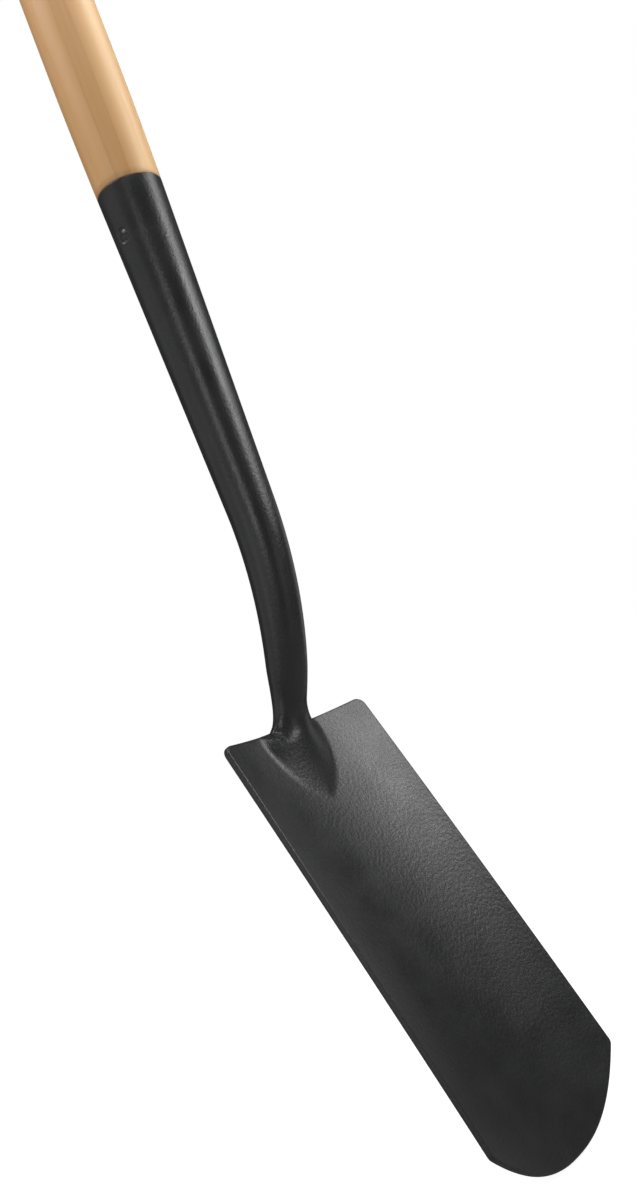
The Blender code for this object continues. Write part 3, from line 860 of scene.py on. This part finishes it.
rivet = run_tree(
    "cross_rivet", template_mesh(rivet_template()), lathe,
    {"Sides": RIVET_SIDES, "Centre height": 0.0,
     "Finish": powder_coat("coated_rivet", PEEL_DEPTH, RIVET_GRIT_DEPTH)})
rivet_place = Matrix.Translation((0, 0, LIP_HEIGHT - RIVET_BELOW_LIP))
rivet.data.transform(rivet_place @ Matrix.Rotation(math.pi / 2, 4, "Y"))
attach(rivet, "root")
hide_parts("rivet")


# Stage: camera, background, lamps and floor.

CAMERA_PLACE = (-0.50957, -0.46412, -0.94425)
CAMERA_TURN = (96.054, 21.022, -46.928)
CAMERA_LENS = 35.25
AMBIENT = 0.06

camera = bpy.data.cameras.new("camera")
camera.lens = CAMERA_LENS
camera.sensor_width = 36
camera.clip_start = 0.01
camera_object = bpy.data.objects.new("camera", camera)
camera_object.location = CAMERA_PLACE
camera_object.rotation_euler = [math.radians(angle) for angle in CAMERA_TURN]
bpy.context.scene.collection.objects.link(camera_object)
bpy.context.scene.camera = camera_object

world = bpy.data.worlds.new("studio")
bpy.context.scene.world = world
world.use_nodes = True
tree = world.node_tree
ambient = tree.nodes["Background"]
ambient.inputs["Color"].default_value = (1, 1, 1, 1)
ambient.inputs["Strength"].default_value = AMBIENT
white = tree.nodes.new("ShaderNodeBackground")
white.inputs["Color"].default_value = (1, 1, 1, 1)
path = tree.nodes.new("ShaderNodeLightPath")
choose = tree.nodes.new("ShaderNodeMixShader")
tree.links.new(path.outputs["Is Camera Ray"], choose.inputs["Fac"])
tree.links.new(ambient.outputs["Background"], choose.inputs[1])
tree.links.new(white.outputs["Background"], choose.inputs[2])
tree.links.new(choose.outputs["Shader"], tree.nodes["World Output"].inputs["Surface"])


def softbox(name, turn, rise, aim_height, distance, width, tall, brightness, roll=0.0):
    """A lamp aimed at the shaft's axis, turned to the right of straight in front and raised, in degrees."""
    lamp = bpy.data.lights.new(name, "AREA")
    lamp.shape = "RECTANGLE"
    lamp.size = width
    lamp.size_y = tall
    lamp.energy = brightness * math.pi * width * tall
    turned = math.radians(turn)
    raised = math.radians(rise)
    level = Vector((math.sin(turned), -math.cos(turned), 0))
    away = level * math.cos(raised) + Vector((0, 0, math.sin(raised)))
    facing = away.to_track_quat("Z", "Y").to_matrix() @ Matrix.Rotation(math.radians(roll), 3, "Z")
    lamp_object = bpy.data.objects.new(name, lamp)
    lamp_object.location = Vector((0, 0, aim_height)) + distance * away
    lamp_object.rotation_euler = facing.to_euler()
    lamp_object.visible_camera = False
    bpy.context.scene.collection.objects.link(lamp_object)


# Each lamp's turn, rise, aim height, distance, width, height and brightness, and the key's roll.
softbox("key_softbox", 36, 0, -0.50, 0.81, 0.68, 0.45, 2.4, 21)
softbox("upper_key", 30, 22, -0.80, 1.15, 0.30, 0.30, 7.6)
softbox("front_fill", 35, 10, -0.80, 1.15, 0.50, 0.40, 0.82)
softbox("low_front_fill", 0, -10, -0.80, 1.15, 0.40, 0.40, 0.76)
softbox("handle_softbox", -30, 45, -0.50, 0.50, 0.30, 0.30, 2.6)
softbox("back_softbox", -120, 65, -0.80, 1.15, 0.55, 0.55, 7.6)
softbox("strip", -54, 8, -0.70, 1.05, 0.11, 0.50, 7.2)
softbox("low_fill", -75, -12, -0.50, 1.60, 2.00, 0.80, 0.69)
softbox("left_fill", -125, 0, -0.60, 1.40, 1.90, 1.40, 0.46)
softbox("right_fill", 90, -14, -0.60, 1.15, 0.55, 0.55, 0.59)
softbox("right_handle_softbox", 55, 45, -0.50, 0.90, 0.54, 0.54, 3.1)
softbox("upper_shaft_softbox", 45, 10, 0.05, 1.10, 0.50, 0.70, 3.0)

FLOOR_HEIGHT = -1.2085
FLOOR_REACH = 15
FLOOR_SHADE = 0.88
FLOOR_SHADE_FROM = 0.4
FLOOR_WHITE_BY = 2.0

floor = bpy.data.meshes.new("floor")
corners = [(-1, -1), (1, -1), (1, 1), (-1, 1)]
floor.from_pydata(
    [(FLOOR_REACH * x, FLOOR_REACH * y, FLOOR_HEIGHT) for x, y in corners], [], [(0, 1, 2, 3)])
floor_object = bpy.data.objects.new("floor", floor)
bpy.context.scene.collection.objects.link(floor_object)
paint = bpy.data.materials.new("pale_floor")
paint.use_nodes = True
tree = paint.node_tree
shader = tree.nodes["Principled BSDF"]
shader.inputs["Base Color"].default_value = (0.4, 0.4, 0.4, 1)
shader.inputs["Roughness"].default_value = 0.9
shader.inputs["Specular IOR Level"].default_value = 0.0
glow = tree.nodes.new("ShaderNodeEmission")
path = tree.nodes.new("ShaderNodeLightPath")
place = tree.nodes.new("ShaderNodeTexCoord").outputs["Object"]
away = add_node(tree, "ShaderNodeVectorMath", {0: place, 1: (0.0, 0.0, FLOOR_HEIGHT)}, operation="DISTANCE")
whiter = add_range(tree, away.outputs["Value"], FLOOR_SHADE_FROM, FLOOR_WHITE_BY, FLOOR_SHADE, 1.0)
strength = add_math(tree, "MULTIPLY", path.outputs["Is Camera Ray"], whiter)
tree.links.new(strength, glow.inputs["Strength"])
both = tree.nodes.new("ShaderNodeAddShader")
tree.links.new(shader.outputs["BSDF"], both.inputs[0])
tree.links.new(glow.outputs["Emission"], both.inputs[1])
tree.links.new(both.outputs["Shader"], tree.nodes["Material Output"].inputs["Surface"])
floor.materials.append(paint)

bpy.context.scene.view_settings.view_transform = "Standard"
